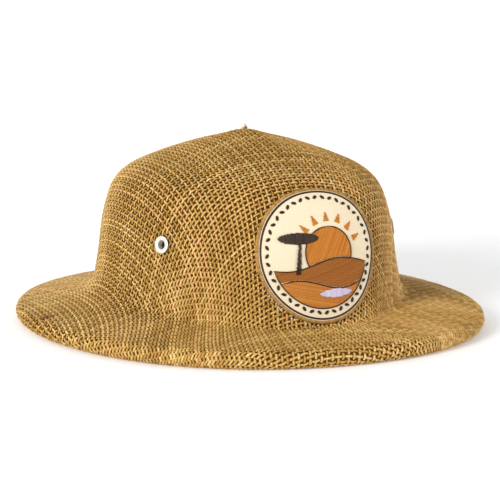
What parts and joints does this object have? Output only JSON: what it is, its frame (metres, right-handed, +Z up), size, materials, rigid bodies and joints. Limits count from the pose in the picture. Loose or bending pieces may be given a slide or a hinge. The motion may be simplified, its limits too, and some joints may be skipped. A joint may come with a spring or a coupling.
{
  "type": "woven straw sun hat",
  "caption": "Helmet-style sun hat of open-weave straw: domed oval crown, flat brim with a rolled rim, side vent eyelets and a round stitched landscape patch in front.",
  "frame": {"origin": "under the middle of the hat, in the plane that the rolled rim rests on", "axes": "+Z up, -Y towards the front of the hat with the patch, -X towards the wearer's right"},
  "size_m": [0.271, 0.3033, 0.1146],
  "materials": {
    "straw": "open plain weave of twisted straw strands, dull sheen",
    "eyelet_metal": "white-coated stamped metal, soft gloss",
    "patch_twill": "cream twill cloth, matt",
    "border_thread": "tan overlocked thread, silky",
    "dark_thread": "dark brown satin stitch",
    "amber_thread": "amber fill stitch, silky",
    "russet_thread": "dark amber fill stitch, silky",
    "lilac_thread": "pale lilac fill stitch, silky"
  },
  "bodies": {
    "root": {"hat_body": "straw", "eyelet_left": "eyelet_metal", "eyelet_right": "eyelet_metal", "patch_ground": "patch_twill", "patch_ring": "dark_thread", "patch_border": "border_thread", "patch_sun": "amber_thread", "sun_ray_1": "amber_thread", "sun_ray_2": "amber_thread", "sun_ray_3": "amber_thread", "sun_ray_4": "amber_thread", "sun_ray_5": "amber_thread", "sun_ray_6": "amber_thread", "sun_ray_7": "amber_thread", "patch_hill_back": "russet_thread", "patch_hill_front": "amber_thread", "patch_pond": "lilac_thread", "patch_tree": "dark_thread"}
  },
  "joints": []
}
